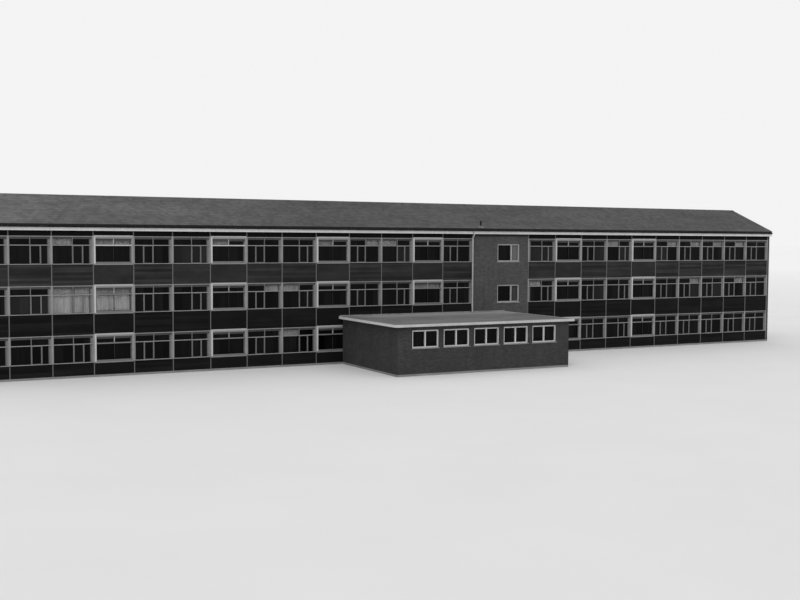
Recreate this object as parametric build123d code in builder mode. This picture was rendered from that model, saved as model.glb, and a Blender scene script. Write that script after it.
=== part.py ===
from build123d import *
from math import cos, radians, sin, tan
import os

# Three-storey school building with a stair tower and a single-storey flat-roofed block.
# It is a half-size model: each length is in millimetres of the model, half of the real length.
# X runs along the front to the right, the front faces -Y, Z is up, and the origin is on the
# ground below the middle of the ridge.

# Plan of the main block
BAY = 1371.6               # from one mullion to the next
LEFT_BAYS = 14             # window bays left of the stair tower
TOWER_BAYS = 2
RIGHT_BAYS = 10            # window bays right of the stair tower
DEPTH = 4900               # between the outer faces of the two long fronts
GABLE_THICKNESS = 110      # brick end walls

# Levels
STOREYS = 3
STOREY = 1676.4            # floor to floor
GROUND_SLAB = 75           # top of the ground floor above the ground
FLOOR_SLAB = 150
CEILING_SLAB = 60
SILL_HEIGHT = 440          # middle of the sill rail above the floor
WINDOW_HEIGHT = 933        # from the sill rail to the head rail
TRANSOM_DROP = 297         # transom rail below the head rail
CEILING_RISE = 75          # underside of the ceiling above the top head rail
SOFFIT_RISE = 202          # underside of the eaves soffit above the top head rail

# Window wall
MULLION_WIDTH = 34
MULLION_DEPTH = 48
RAIL_HEIGHT = 25
GLASS_THICKNESS = 12
PANEL_RECESS = 15          # panel face behind the mullion face
COLUMN_WIDTH = 150         # concrete columns behind the mullions
COLUMN_DEPTH = 120
EDGE_BEAM = 150            # eaves beam of the concrete frame
BOX_EVERY = 3              # every third bay has a white box window
LAST_BOX_BAY = 20          # the right end of the block has none
BOX_FACE = 55              # face width of a box window
BOX_PROUD = 25             # box window in front of the mullions
BOX_TRANSOM = 40

# Stair tower
TOWER_WINDOW_OFFSET = 1760     # middle of the windows from the tower's left mullion
TOWER_WINDOW_WIDTH = 1080
TOWER_WINDOW_HEIGHT = 720
TOWER_BAR_OFFSET = 690         # middle of the upright bar from the window's left side
FRAME_FACE = 45                # face width of the small window and door frames
FRAME_DEPTH = 60
FRAME_RECESS = 30              # frame face behind the brick face
PANE_THICKNESS = 12
DOORWAY_WIDTH = 950
DOORWAY_HEIGHT = 1150
DOOR_THICKNESS = 25
DOOR_GAP = 3                   # between the two door leaves

# Roof
ROOF_PITCH = 22.2              # degrees
ROOF_THICKNESS = 60
EAVES_OVERHANG = 120
VERGE_OVERHANG = 30
TILE_OVERSAIL = 20             # tiles beyond the fascia
FASCIA_HEIGHT = 170
BOARD_THICKNESS = 15           # fascia boards and bargeboards
FASCIA_LIP = 8                 # fascia below the soffit
SOFFIT_THICKNESS = 12
BARGE_DROP = 60                # bargeboard below the underside of the roof
BARGE_UPSTAND = 10             # bargeboard above the tiles
RIDGE_WING = 110
RIDGE_THICKNESS = 12
PLATE_HEIGHT = 80              # wall plate at its outer face

# Rainwater and vent
GUTTER_WIDTH = 60
GUTTER_HEIGHT = 50
GUTTER_WALL = 5
GUTTER_DROP = 12               # rim below the top of the fascia
PIPE_RADIUS = 29
PIPE_GAP = 10                  # pipe clear of the mullion
PIPE_OUTLET = 45               # straight drop below the gutter
PIPE_BEND = 70                 # bend radius
PIPE_FOOT = 15                 # end of the pipe above what it drains to
VENT_OFFSET = 370              # vent from the tower's left mullion
VENT_SETBACK = 80              # vent from the fascia, up the roof
VENT_RADIUS = 32
VENT_HEIGHT = 210
COWL_RADIUS = 48
COWL_HEIGHT = 40

# Flat-roofed block in front of the main block
BLOCK_FIRST_LINE = 10          # mullion line just right of the block's left wall
BLOCK_CORNER = 285             # left corner from that line
BLOCK_WIDTH = 7262
BLOCK_DEPTH = 4519
BLOCK_WALL = 140
BLOCK_WALL_TOP = 1740
BLOCK_ROOF_THICKNESS = 75
BLOCK_OVERHANG = 138
BLOCK_FASCIA_LIP = 10          # fascia below the roof slab
BLOCK_FASCIA_UPSTAND = 6       # fascia above the roof slab
BLOCK_END_PIER = 150           # least brick between an end window and the corner
BLOCK_WINDOW_PITCH = 1260
BLOCK_WINDOW_WIDTH = 1060
BLOCK_WINDOW_SILL = 975
BLOCK_WINDOW_HEIGHT = 625

# Planes and levels that follow from the sizes above
BAYS = LEFT_BAYS + TOWER_BAYS + RIGHT_BAYS
TOWER_LINE = LEFT_BAYS                       # mullion line at the tower's left edge
RIGHT_LINE = LEFT_BAYS + TOWER_BAYS          # mullion line at the tower's right edge
FRONT = DEPTH / 2
SKIN_DEPTH = MULLION_DEPTH + GLASS_THICKNESS
WALL_DEPTH = SKIN_DEPTH + COLUMN_DEPTH       # window wall and columns, also the tower wall
INNER = FRONT - WALL_DEPTH                   # inner face of the long walls
ROOM_LENGTH = BAYS * BAY + MULLION_WIDTH     # between the gable walls
OUTER_LENGTH = ROOM_LENGTH + 2 * GABLE_THICKNESS
ROOF_LENGTH = OUTER_LENGTH + 2 * (VERGE_OVERHANG - BOARD_THICKNESS)
TOP_FLOOR = STOREYS - 1

EAVES = FRONT + EAVES_OVERHANG               # face of the fascia from the ridge line
SLOPE = tan(radians(ROOF_PITCH))
ROOF_RISE = ROOF_THICKNESS / cos(radians(ROOF_PITCH))


def line_x(line):
    """X of a mullion line, counted from 0 at the left end."""
    return (line - BAYS / 2) * BAY


def floor_z(storey):
    return GROUND_SLAB + storey * STOREY


def sill_z(storey):
    return floor_z(storey) + SILL_HEIGHT


def head_z(storey):
    return sill_z(storey) + WINDOW_HEIGHT


CEILING_Z = head_z(TOP_FLOOR) + CEILING_RISE
SOFFIT_Z = head_z(TOP_FLOOR) + SOFFIT_RISE
SOFFIT_TOP = SOFFIT_Z + SOFFIT_THICKNESS
FASCIA_Z = SOFFIT_Z - FASCIA_LIP
EAVES_Z = FASCIA_Z + FASCIA_HEIGHT


def roof_under(y):
    """Height of the roof's underside at a distance y from the ridge line."""
    return EAVES_Z + (EAVES - y) * SLOPE


def roof_top(y):
    return roof_under(y) + ROOF_RISE


PLATE_Z = roof_under(FRONT - SKIN_DEPTH) - PLATE_HEIGHT
WINDOW_BAYS = [b for b in range(BAYS) if b < TOWER_LINE or b >= RIGHT_LINE]


def is_box_bay(bay):
    """Box windows stand in every third bay left of the tower, and in line with them beyond it."""
    if bay < TOWER_LINE:
        return bay % BOX_EVERY == 0 and bay > 0
    return (bay + 1) % BOX_EVERY == 0 and bay <= LAST_BOX_BAY


BOX_BAYS = [b for b in WINDOW_BAYS if is_box_bay(b)]
PLAIN_BAYS = [b for b in WINDOW_BAYS if not is_box_bay(b)]


def bay_x(bay):
    """X of the middle of a bay."""
    return line_x(bay + 0.5)


def in_bays(bays, heights):
    """Places on the front plane, one for each bay at each height."""
    return [(bay_x(b), z) for b in bays for z in heights]


# Floors and ceiling
def slab(bottom, thickness, length, depth):
    with BuildPart() as piece:
        with BuildSketch(Plane.XY.offset(bottom)):
            Rectangle(length, depth)
        extrude(amount=thickness)
    return piece


ground_floor_slab = slab(0, GROUND_SLAB, OUTER_LENGTH, DEPTH)
first_floor_slab = slab(floor_z(1) - FLOOR_SLAB, FLOOR_SLAB, ROOM_LENGTH, 2 * INNER)
second_floor_slab = slab(floor_z(2) - FLOOR_SLAB, FLOOR_SLAB, ROOM_LENGTH, 2 * INNER)
ceiling_slab = slab(CEILING_Z, CEILING_SLAB, ROOM_LENGTH, 2 * INNER)


# Gable walls: brick up to the underside of both slopes
with BuildPart() as right_gable_wall:
    with BuildSketch(Plane.YZ.offset(ROOM_LENGTH / 2)):
        with BuildLine():
            Polyline(
                (-FRONT, GROUND_SLAB),
                (-FRONT, roof_under(FRONT)),
                (0, roof_under(0)),
                (FRONT, roof_under(FRONT)),
                (FRONT, GROUND_SLAB),
                close=True,
            )
        make_face()
    extrude(amount=GABLE_THICKNESS)

with BuildPart() as left_gable_wall:
    mirror(right_gable_wall.part, about=Plane.YZ)


# Concrete frame behind the window wall: columns beside the mullion lines, beams at each floor
def concrete_frame(first, last):
    length = line_x(last) - line_x(first) + MULLION_WIDTH
    shift = (COLUMN_WIDTH - MULLION_WIDTH) / 2
    places = [(line_x(first) + shift, GROUND_SLAB)]
    places += [(line_x(i) - shift, GROUND_SLAB) for i in range(first + 1, last + 1)]
    middle = (line_x(first) + line_x(last)) / 2
    with BuildPart() as piece:
        with BuildSketch(Plane.XZ.offset(FRONT - SKIN_DEPTH)):
            with Locations(*places):
                Rectangle(COLUMN_WIDTH, PLATE_Z - GROUND_SLAB, align=(Align.CENTER, Align.MIN))
            with Locations(*[(middle, floor_z(k)) for k in range(1, STOREYS)]):
                Rectangle(length, FLOOR_SLAB, align=(Align.CENTER, Align.MAX))
            with Locations((middle, CEILING_Z)):
                Rectangle(length, EDGE_BEAM, align=(Align.CENTER, Align.MIN))
        extrude(amount=-COLUMN_DEPTH)
    return piece


front_left_frame = concrete_frame(0, TOWER_LINE)
front_right_frame = concrete_frame(RIGHT_LINE, BAYS)

with BuildPart() as rear_left_frame:
    mirror(front_left_frame.part, about=Plane.XZ)

with BuildPart() as rear_right_frame:
    mirror(front_right_frame.part, about=Plane.XZ)


# Mullions and rails: one grid on each side of the tower, with the box bays left clear
def mullion_grid(first, last):
    length = line_x(last) - line_x(first) + MULLION_WIDTH
    middle = (line_x(first) + line_x(last)) / 2
    rails = [z(k) for k in range(STOREYS) for z in (sill_z, head_z)]
    transoms = [head_z(k) - TRANSOM_DROP for k in range(STOREYS)]
    plain = [b for b in PLAIN_BAYS if first <= b < last]
    with BuildPart() as piece:
        with BuildSketch(Plane.XZ.offset(FRONT)):
            with Locations(*[(line_x(i), GROUND_SLAB) for i in range(first, last + 1)]):
                Rectangle(MULLION_WIDTH, SOFFIT_TOP - GROUND_SLAB, align=(Align.CENTER, Align.MIN))
            with Locations(*[(middle, z) for z in rails]):
                Rectangle(length, RAIL_HEIGHT)
            with Locations(*in_bays(plain, transoms)):
                Rectangle(BAY, RAIL_HEIGHT)
        extrude(amount=-MULLION_DEPTH)
    return piece


front_left_mullions = mullion_grid(0, TOWER_LINE)
front_right_mullions = mullion_grid(RIGHT_LINE, BAYS)

with BuildPart() as rear_left_mullions:
    mirror(front_left_mullions.part, about=Plane.XZ)

with BuildPart() as rear_right_mullions:
    mirror(front_right_mullions.part, about=Plane.XZ)


# Panels between the mullions, below and above the windows, on both long fronts
def panel_rows(rows):
    """Each row is the bottom and the top of its panels."""
    with BuildPart() as piece:
        with BuildSketch(Plane.XZ.offset(FRONT - PANEL_RECESS)):
            for bottom, top in rows:
                with Locations(*in_bays(WINDOW_BAYS, [(bottom + top) / 2])):
                    Rectangle(BAY - MULLION_WIDTH, top - bottom)
        extrude(amount=PANEL_RECESS - SKIN_DEPTH)
        mirror(about=Plane.XZ)
    return piece


HALF_RAIL = RAIL_HEIGHT / 2
base_panels = panel_rows([(GROUND_SLAB, sill_z(0) - HALF_RAIL)])
storey_panels = panel_rows(
    [(head_z(k - 1) + HALF_RAIL, sill_z(k) - HALF_RAIL) for k in range(1, STOREYS)]
)
eaves_panels = panel_rows([(head_z(TOP_FLOOR) + HALF_RAIL, SOFFIT_TOP)])


# Glass: one sheet for each run of windows of a storey, behind the mullions
def storey_glass(storey):
    height = WINDOW_HEIGHT + RAIL_HEIGHT
    bottom = sill_z(storey) - HALF_RAIL
    with BuildPart() as piece:
        for first, last in ((0, TOWER_LINE), (RIGHT_LINE, BAYS)):
            length = line_x(last) - line_x(first) + MULLION_WIDTH
            with BuildSketch(Plane.XZ.offset(FRONT - MULLION_DEPTH)):
                with Locations(((line_x(first) + line_x(last)) / 2, bottom)):
                    Rectangle(length, height, align=(Align.CENTER, Align.MIN))
            extrude(amount=-GLASS_THICKNESS)
        mirror(about=Plane.XZ)
    return piece


ground_floor_glass = storey_glass(0)
first_floor_glass = storey_glass(1)
second_floor_glass = storey_glass(2)


# White box windows with a toplight, proud of the mullions
BOX_WIDTH = BAY - MULLION_WIDTH
BOX_HEIGHT = WINDOW_HEIGHT - RAIL_HEIGHT
TOPLIGHT_TOP = BOX_HEIGHT - BOX_FACE
TOPLIGHT_BOTTOM = BOX_HEIGHT + HALF_RAIL - TRANSOM_DROP + BOX_TRANSOM / 2
CASEMENT_TOP = TOPLIGHT_BOTTOM - BOX_TRANSOM

with BuildPart() as box_windows:
    box_bottoms = [sill_z(k) + HALF_RAIL for k in range(STOREYS)]
    with BuildSketch(Plane.XZ.offset(FRONT + BOX_PROUD)):
        with Locations(*in_bays(BOX_BAYS, box_bottoms)):
            Rectangle(BOX_WIDTH, BOX_HEIGHT, align=(Align.CENTER, Align.MIN))
        with Locations(*in_bays(BOX_BAYS, [z + BOX_FACE for z in box_bottoms])):
            Rectangle(
                BOX_WIDTH - 2 * BOX_FACE,
                CASEMENT_TOP - BOX_FACE,
                align=(Align.CENTER, Align.MIN),
                mode=Mode.SUBTRACT,
            )
        with Locations(*in_bays(BOX_BAYS, [z + TOPLIGHT_BOTTOM for z in box_bottoms])):
            Rectangle(
                BOX_WIDTH - 2 * BOX_FACE,
                TOPLIGHT_TOP - TOPLIGHT_BOTTOM,
                align=(Align.CENTER, Align.MIN),
                mode=Mode.SUBTRACT,
            )
    extrude(amount=-BOX_PROUD - MULLION_DEPTH)
    mirror(about=Plane.XZ)


# Stair tower: brick on both fronts between the two window walls
TOWER_LEFT = line_x(TOWER_LINE) + MULLION_WIDTH / 2
TOWER_RIGHT = line_x(RIGHT_LINE) - MULLION_WIDTH / 2
TOWER_MIDDLE = (TOWER_LEFT + TOWER_RIGHT) / 2
TOWER_WINDOW_X = line_x(TOWER_LINE) + TOWER_WINDOW_OFFSET
TOWER_WINDOWS = [(TOWER_WINDOW_X, sill_z(k)) for k in range(1, STOREYS)]

with BuildPart() as tower_front_wall:
    with BuildSketch(Plane.XZ.offset(FRONT)):
        with Locations((TOWER_MIDDLE, GROUND_SLAB)):
            Rectangle(TOWER_RIGHT - TOWER_LEFT, PLATE_Z - GROUND_SLAB, align=(Align.CENTER, Align.MIN))
        with Locations(*TOWER_WINDOWS):
            Rectangle(
                TOWER_WINDOW_WIDTH,
                TOWER_WINDOW_HEIGHT,
                align=(Align.CENTER, Align.MIN),
                mode=Mode.SUBTRACT,
            )
    extrude(amount=-WALL_DEPTH)

with BuildPart() as tower_rear_wall:
    mirror(tower_front_wall.part, about=Plane.XZ)
    with BuildSketch(Plane.XZ.offset(-INNER)):
        with Locations((TOWER_MIDDLE, GROUND_SLAB)):
            Rectangle(DOORWAY_WIDTH, DOORWAY_HEIGHT, align=(Align.CENTER, Align.MIN))
    extrude(amount=-WALL_DEPTH, mode=Mode.SUBTRACT)

BAR_X = TOWER_WINDOW_X - TOWER_WINDOW_WIDTH / 2 + TOWER_BAR_OFFSET

with BuildPart() as tower_window_frames:
    with BuildSketch(Plane.XZ.offset(FRONT - FRAME_RECESS)):
        with Locations(*TOWER_WINDOWS):
            Rectangle(TOWER_WINDOW_WIDTH, TOWER_WINDOW_HEIGHT, align=(Align.CENTER, Align.MIN))
        with Locations(*[(x, z + FRAME_FACE) for x, z in TOWER_WINDOWS]):
            Rectangle(
                TOWER_WINDOW_WIDTH - 2 * FRAME_FACE,
                TOWER_WINDOW_HEIGHT - 2 * FRAME_FACE,
                align=(Align.CENTER, Align.MIN),
                mode=Mode.SUBTRACT,
            )
        with Locations(*[(BAR_X, z) for x, z in TOWER_WINDOWS]):
            Rectangle(FRAME_FACE, TOWER_WINDOW_HEIGHT, align=(Align.CENTER, Align.MIN))
    extrude(amount=-FRAME_DEPTH)
    mirror(about=Plane.XZ)

PANE_RECESS = FRAME_RECESS + FRAME_DEPTH

with BuildPart() as tower_window_glass:
    with BuildSketch(Plane.XZ.offset(FRONT - PANE_RECESS)):
        with Locations(*TOWER_WINDOWS):
            Rectangle(TOWER_WINDOW_WIDTH, TOWER_WINDOW_HEIGHT, align=(Align.CENTER, Align.MIN))
    extrude(amount=-PANE_THICKNESS)
    mirror(about=Plane.XZ)


# Rear entrance: a fixed pair of doors in a frame, in the rear wall of the tower
with BuildPart() as entrance_frame:
    with BuildSketch(Plane.XZ.offset(FRAME_RECESS - FRONT)):
        with Locations((TOWER_MIDDLE, GROUND_SLAB)):
            Rectangle(DOORWAY_WIDTH, DOORWAY_HEIGHT, align=(Align.CENTER, Align.MIN))
            Rectangle(
                DOORWAY_WIDTH - 2 * FRAME_FACE,
                DOORWAY_HEIGHT - FRAME_FACE,
                align=(Align.CENTER, Align.MIN),
                mode=Mode.SUBTRACT,
            )
    extrude(amount=FRAME_DEPTH)

LEAF_WIDTH = (DOORWAY_WIDTH - 2 * FRAME_FACE - DOOR_GAP) / 2
LEAF_SHIFT = (LEAF_WIDTH + DOOR_GAP) / 2

with BuildPart() as entrance_doors:
    with BuildSketch(Plane.XZ.offset(FRAME_RECESS - FRONT)):
        with Locations(
            (TOWER_MIDDLE - LEAF_SHIFT, GROUND_SLAB),
            (TOWER_MIDDLE + LEAF_SHIFT, GROUND_SLAB),
        ):
            Rectangle(LEAF_WIDTH, DOORWAY_HEIGHT - FRAME_FACE, align=(Align.CENTER, Align.MIN))
    extrude(amount=DOOR_THICKNESS)


# Wall plates: bevelled to the slope, on the columns, the tower walls and between the gables
with BuildPart() as wall_plates:
    with BuildSketch(Plane.YZ):
        with BuildLine():
            Polyline(
                (SKIN_DEPTH - FRONT, PLATE_Z),
                (SKIN_DEPTH - FRONT, roof_under(FRONT - SKIN_DEPTH)),
                (-INNER, roof_under(INNER)),
                (-INNER, PLATE_Z),
                close=True,
            )
        make_face()
    extrude(amount=ROOM_LENGTH / 2, both=True)
    mirror(about=Plane.XZ)


# Roof slopes, meeting on a vertical joint at the ridge
TILE_EDGE = EAVES + TILE_OVERSAIL

with BuildPart() as front_roof_slope:
    with BuildSketch(Plane.YZ):
        with BuildLine():
            Polyline(
                (-TILE_EDGE, roof_under(TILE_EDGE)),
                (0, roof_under(0)),
                (0, roof_top(0)),
                (-TILE_EDGE, roof_top(TILE_EDGE)),
                close=True,
            )
        make_face()
    extrude(amount=ROOF_LENGTH / 2, both=True)

with BuildPart() as rear_roof_slope:
    mirror(front_roof_slope.part, about=Plane.XZ)

with BuildPart() as ridge_capping:
    with BuildSketch(Plane.YZ):
        with BuildLine():
            Polyline(
                (-RIDGE_WING, roof_top(RIDGE_WING)),
                (0, roof_top(0)),
                (RIDGE_WING, roof_top(RIDGE_WING)),
                (RIDGE_WING, roof_top(RIDGE_WING) + RIDGE_THICKNESS),
                (0, roof_top(0) + RIDGE_THICKNESS),
                (-RIDGE_WING, roof_top(RIDGE_WING) + RIDGE_THICKNESS),
                close=True,
            )
        make_face()
    extrude(amount=ROOF_LENGTH / 2, both=True)


# Eaves: fascia boards, soffits and box gutters on both long fronts
with BuildPart() as fascia_boards:
    with BuildSketch(Plane.YZ):
        with Locations((-EAVES, FASCIA_Z)):
            Rectangle(BOARD_THICKNESS, FASCIA_HEIGHT, align=(Align.MIN, Align.MIN))
    extrude(amount=ROOF_LENGTH / 2, both=True)
    mirror(about=Plane.XZ)

with BuildPart() as eaves_soffits:
    with BuildSketch(Plane.YZ):
        with Locations((-FRONT, SOFFIT_Z)):
            Rectangle(
                EAVES_OVERHANG - BOARD_THICKNESS,
                SOFFIT_THICKNESS,
                align=(Align.MAX, Align.MIN),
            )
    extrude(amount=ROOF_LENGTH / 2, both=True)
    mirror(about=Plane.XZ)

GUTTER_TOP = EAVES_Z - GUTTER_DROP

with BuildPart() as front_gutter:
    with BuildSketch(Plane.YZ):
        with Locations((-EAVES, GUTTER_TOP)):
            Rectangle(GUTTER_WIDTH, GUTTER_HEIGHT, align=(Align.MAX, Align.MAX))
        with Locations((GUTTER_WALL - EAVES - GUTTER_WIDTH, GUTTER_TOP)):
            Rectangle(
                GUTTER_WIDTH - 2 * GUTTER_WALL,
                GUTTER_HEIGHT - GUTTER_WALL,
                align=(Align.MIN, Align.MAX),
                mode=Mode.SUBTRACT,
            )
    extrude(amount=ROOF_LENGTH / 2, both=True)

with BuildPart() as rear_gutter:
    mirror(front_gutter.part, about=Plane.XZ)


# Bargeboards, with a boxed end that closes the eaves
with BuildPart() as right_bargeboard:
    with BuildSketch(Plane.YZ.offset(ROOF_LENGTH / 2)):
        with BuildLine():
            Polyline(
                (-EAVES, FASCIA_Z),
                (-EAVES, roof_top(EAVES) + BARGE_UPSTAND),
                (0, roof_top(0) + BARGE_UPSTAND),
                (EAVES, roof_top(EAVES) + BARGE_UPSTAND),
                (EAVES, FASCIA_Z),
                (FRONT, FASCIA_Z),
                (FRONT, roof_under(FRONT) - BARGE_DROP),
                (0, roof_under(0) - BARGE_DROP),
                (-FRONT, roof_under(FRONT) - BARGE_DROP),
                (-FRONT, FASCIA_Z),
                close=True,
            )
        make_face()
    extrude(amount=BOARD_THICKNESS)

with BuildPart() as left_bargeboard:
    mirror(right_bargeboard.part, about=Plane.YZ)


# Downpipes: from the gutter, under the soffit and down the tower's left mullion, at the front to
# the roof of the flat-roofed block and at the rear to the ground
PIPE_X = line_x(TOWER_LINE)
OUTLET_Y = EAVES + GUTTER_WIDTH / 2
GUTTER_BOTTOM = GUTTER_TOP - GUTTER_HEIGHT
LOW_PIPE_Y = FRONT + PIPE_GAP + PIPE_RADIUS
ELBOW_Z = FASCIA_Z - PIPE_OUTLET
LOW_BEND_Z = ELBOW_Z - (OUTLET_Y - LOW_PIPE_Y)

BLOCK_ROOF_TOP = BLOCK_WALL_TOP + BLOCK_ROOF_THICKNESS

with BuildPart() as downpipes:
    for side, foot in ((-1, BLOCK_ROOF_TOP), (1, 0)):
        with BuildLine():
            FilletPolyline(
                (PIPE_X, side * OUTLET_Y, GUTTER_BOTTOM),
                (PIPE_X, side * OUTLET_Y, ELBOW_Z),
                (PIPE_X, side * LOW_PIPE_Y, LOW_BEND_Z),
                (PIPE_X, side * LOW_PIPE_Y, foot + PIPE_FOOT),
                radius=PIPE_BEND,
            )
        with BuildSketch(Plane(origin=(PIPE_X, side * OUTLET_Y, GUTTER_BOTTOM), z_dir=(0, 0, -1))):
            Circle(PIPE_RADIUS)
        sweep()


# Vent pipe with a cowl, through the front slope near the eaves
VENT_X = line_x(TOWER_LINE) + VENT_OFFSET
VENT_Y = EAVES - VENT_SETBACK
TILE_PLANE = Plane(
    origin=(0, 0, roof_top(0)),
    z_dir=(0, -sin(radians(ROOF_PITCH)), cos(radians(ROOF_PITCH))),
)

with BuildPart() as roof_vent:
    with BuildSketch(Plane.XY.offset(roof_under(VENT_Y))):
        with Locations((VENT_X, -VENT_Y)):
            Circle(VENT_RADIUS)
    extrude(amount=ROOF_RISE + VENT_HEIGHT)
    split(bisect_by=TILE_PLANE, keep=Keep.TOP)
    with BuildSketch(Plane.XY.offset(roof_top(VENT_Y) + VENT_HEIGHT)):
        with Locations((VENT_X, -VENT_Y)):
            Circle(COWL_RADIUS)
    extrude(amount=COWL_HEIGHT)


# Flat-roofed block
BLOCK_LEFT = line_x(BLOCK_FIRST_LINE) - BLOCK_CORNER
BLOCK_RIGHT = BLOCK_LEFT + BLOCK_WIDTH
BLOCK_MIDDLE = (BLOCK_LEFT + BLOCK_RIGHT) / 2
BLOCK_FACE = FRONT + BLOCK_DEPTH
WALL_RISE = BLOCK_WALL_TOP - GROUND_SLAB

with BuildPart() as block_floor_slab:
    with BuildSketch():
        with Locations((BLOCK_MIDDLE, -FRONT)):
            Rectangle(BLOCK_WIDTH, BLOCK_DEPTH, align=(Align.CENTER, Align.MAX))
    extrude(amount=GROUND_SLAB)


def block_side_wall(left, proud):
    with BuildPart() as piece:
        with BuildSketch(Plane.XY.offset(GROUND_SLAB)):
            with Locations((left, -FRONT - proud)):
                Rectangle(
                    BLOCK_WALL,
                    BLOCK_DEPTH - BLOCK_WALL - proud,
                    align=(Align.MIN, Align.MAX),
                )
        extrude(amount=WALL_RISE)
    return piece


# The left wall meets a box window, the right wall the tower
block_left_wall = block_side_wall(BLOCK_LEFT, BOX_PROUD)
block_right_wall = block_side_wall(BLOCK_RIGHT - BLOCK_WALL, 0)

WINDOW_RUN = BLOCK_WIDTH - 2 * BLOCK_END_PIER - BLOCK_WINDOW_WIDTH
BLOCK_WINDOWS = int(WINDOW_RUN // BLOCK_WINDOW_PITCH) + 1
FIRST_WINDOW_X = BLOCK_MIDDLE - (BLOCK_WINDOWS - 1) / 2 * BLOCK_WINDOW_PITCH
BLOCK_WINDOW_PLACES = [
    (FIRST_WINDOW_X + i * BLOCK_WINDOW_PITCH, BLOCK_WINDOW_SILL) for i in range(BLOCK_WINDOWS)
]

with BuildPart() as block_front_wall:
    with BuildSketch(Plane.XZ.offset(BLOCK_FACE)):
        with Locations((BLOCK_MIDDLE, GROUND_SLAB)):
            Rectangle(BLOCK_WIDTH, WALL_RISE, align=(Align.CENTER, Align.MIN))
        with Locations(*BLOCK_WINDOW_PLACES):
            Rectangle(
                BLOCK_WINDOW_WIDTH,
                BLOCK_WINDOW_HEIGHT,
                align=(Align.CENTER, Align.MIN),
                mode=Mode.SUBTRACT,
            )
    extrude(amount=-BLOCK_WALL)

with BuildPart() as block_window_frames:
    with BuildSketch(Plane.XZ.offset(BLOCK_FACE - FRAME_RECESS)):
        with Locations(*BLOCK_WINDOW_PLACES):
            Rectangle(BLOCK_WINDOW_WIDTH, BLOCK_WINDOW_HEIGHT, align=(Align.CENTER, Align.MIN))
        with Locations(*[(x, z + FRAME_FACE) for x, z in BLOCK_WINDOW_PLACES]):
            Rectangle(
                BLOCK_WINDOW_WIDTH - 2 * FRAME_FACE,
                BLOCK_WINDOW_HEIGHT - 2 * FRAME_FACE,
                align=(Align.CENTER, Align.MIN),
                mode=Mode.SUBTRACT,
            )
        with Locations(*BLOCK_WINDOW_PLACES):
            Rectangle(FRAME_FACE, BLOCK_WINDOW_HEIGHT, align=(Align.CENTER, Align.MIN))
    extrude(amount=-FRAME_DEPTH)

with BuildPart() as block_window_glass:
    with BuildSketch(Plane.XZ.offset(BLOCK_FACE - PANE_RECESS)):
        with Locations(*BLOCK_WINDOW_PLACES):
            Rectangle(BLOCK_WINDOW_WIDTH, BLOCK_WINDOW_HEIGHT, align=(Align.CENTER, Align.MIN))
    extrude(amount=-PANE_THICKNESS)

with BuildPart() as block_roof:
    with BuildSketch(Plane.XY.offset(BLOCK_WALL_TOP)):
        with Locations((BLOCK_MIDDLE, -FRONT)):
            Rectangle(
                BLOCK_WIDTH + 2 * BLOCK_OVERHANG,
                BLOCK_DEPTH + BLOCK_OVERHANG,
                align=(Align.CENTER, Align.MAX),
            )
    extrude(amount=BLOCK_ROOF_THICKNESS)

with BuildPart() as block_fascia:
    with BuildSketch(Plane.XY.offset(BLOCK_WALL_TOP - BLOCK_FASCIA_LIP)):
        with Locations((BLOCK_MIDDLE, -FRONT)):
            Rectangle(
                BLOCK_WIDTH + 2 * (BLOCK_OVERHANG + BOARD_THICKNESS),
                BLOCK_DEPTH + BLOCK_OVERHANG + BOARD_THICKNESS,
                align=(Align.CENTER, Align.MAX),
            )
            Rectangle(
                BLOCK_WIDTH + 2 * BLOCK_OVERHANG,
                BLOCK_DEPTH + BLOCK_OVERHANG,
                align=(Align.CENTER, Align.MAX),
                mode=Mode.SUBTRACT,
            )
    extrude(amount=BLOCK_FASCIA_LIP + BLOCK_ROOF_THICKNESS + BLOCK_FASCIA_UPSTAND)


pieces = {
    "ground_floor_slab": ground_floor_slab,
    "first_floor_slab": first_floor_slab,
    "second_floor_slab": second_floor_slab,
    "ceiling_slab": ceiling_slab,
    "left_gable_wall": left_gable_wall,
    "right_gable_wall": right_gable_wall,
    "tower_front_wall": tower_front_wall,
    "tower_rear_wall": tower_rear_wall,
    "front_left_frame": front_left_frame,
    "front_right_frame": front_right_frame,
    "rear_left_frame": rear_left_frame,
    "rear_right_frame": rear_right_frame,
    "front_left_mullions": front_left_mullions,
    "front_right_mullions": front_right_mullions,
    "rear_left_mullions": rear_left_mullions,
    "rear_right_mullions": rear_right_mullions,
    "base_panels": base_panels,
    "storey_panels": storey_panels,
    "eaves_panels": eaves_panels,
    "ground_floor_glass": ground_floor_glass,
    "first_floor_glass": first_floor_glass,
    "second_floor_glass": second_floor_glass,
    "box_windows": box_windows,
    "tower_window_frames": tower_window_frames,
    "tower_window_glass": tower_window_glass,
    "entrance_frame": entrance_frame,
    "entrance_doors": entrance_doors,
    "wall_plates": wall_plates,
    "front_roof_slope": front_roof_slope,
    "rear_roof_slope": rear_roof_slope,
    "ridge_capping": ridge_capping,
    "fascia_boards": fascia_boards,
    "eaves_soffits": eaves_soffits,
    "front_gutter": front_gutter,
    "rear_gutter": rear_gutter,
    "left_bargeboard": left_bargeboard,
    "right_bargeboard": right_bargeboard,
    "downpipes": downpipes,
    "roof_vent": roof_vent,
    "block_floor_slab": block_floor_slab,
    "block_left_wall": block_left_wall,
    "block_front_wall": block_front_wall,
    "block_right_wall": block_right_wall,
    "block_window_frames": block_window_frames,
    "block_window_glass": block_window_glass,
    "block_roof": block_roof,
    "block_fascia": block_fascia,
}

os.makedirs("parts", exist_ok=True)
for name, piece in pieces.items():
    piece.part.label = name
    export_step(piece.part, f"parts/{name}.step")
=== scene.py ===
import random
from math import atan2, cos, hypot, pi, radians, sin

import bpy
from mathutils import Matrix, Vector


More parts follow.
